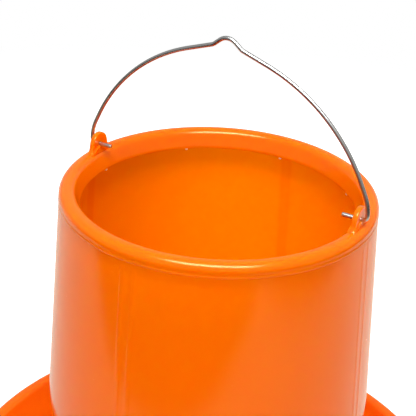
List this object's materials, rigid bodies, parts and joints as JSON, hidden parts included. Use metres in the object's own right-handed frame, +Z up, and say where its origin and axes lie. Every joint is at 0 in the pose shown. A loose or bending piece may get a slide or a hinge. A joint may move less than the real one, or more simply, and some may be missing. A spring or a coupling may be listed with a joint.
{
  "type": "poultry feeder",
  "caption": "Hanging poultry feeder: open barrel-shaped hopper with rolled rim over a wide round pan, feed cone, adjustable feed gap with wing nuts, and a swinging wire bail.",
  "frame": {"origin": "middle of the pan's underside, on the surface the feeder stands on", "axes": "+Z up along the hopper's axis; +X along the bail's hinge axis, through one ear; +Y completes the right-handed frame"},
  "size_m": [0.421, 0.421, 0.4528],
  "materials": {
    "hopper_plastic": "glossy, slightly translucent orange",
    "pan_plastic": "glossy orange",
    "zinc_wire": "drawn wire with a bright zinc coat",
    "zinc_hardware": "bright zinc plating"
  },
  "bodies": {
    "pan": {"feed_pan": "pan_plastic"},
    "hopper": {"hopper": "hopper_plastic", "clamp_bolt_1": "zinc_hardware", "clamp_bolt_2": "zinc_hardware", "clamp_bolt_3": "zinc_hardware", "clamp_bolt_4": "zinc_hardware", "washer_1": "zinc_hardware", "washer_2": "zinc_hardware", "washer_3": "zinc_hardware", "washer_4": "zinc_hardware"},
    "bail": {"bail_handle": "zinc_wire"},
    "nut_1": {"wing_nut_1": "zinc_hardware"},
    "nut_2": {"wing_nut_2": "zinc_hardware"},
    "nut_3": {"wing_nut_3": "zinc_hardware"},
    "nut_4": {"wing_nut_4": "zinc_hardware"}
  },
  "joints": [
    {"name": "feed_gap_slide", "type": "slide", "parent": "pan", "child": "hopper", "axis": [0, 0, 1], "range_m": [0, 0.02]},
    {"name": "bail_swing", "type": "hinge", "parent": "hopper", "child": "bail", "pos_m": [0, 0, 0.348], "axis": [1, 0, 0], "range_deg": [-92, 92]},
    {"name": "nut_turn_1", "type": "hinge", "parent": "hopper", "child": "nut_1", "pos_m": [0.1029, 0, 0.056], "axis": [1, 0, 0], "continuous": true},
    {"name": "nut_turn_2", "type": "hinge", "parent": "hopper", "child": "nut_2", "pos_m": [0, 0.1029, 0.056], "axis": [0, 1, 0], "continuous": true},
    {"name": "nut_turn_3", "type": "hinge", "parent": "hopper", "child": "nut_3", "pos_m": [-0.1029, 0, 0.056], "axis": [-1, 0, 0], "continuous": true},
    {"name": "nut_turn_4", "type": "hinge", "parent": "hopper", "child": "nut_4", "pos_m": [0, -0.1029, 0.056], "axis": [0, -1, 0], "continuous": true}
  ]
}
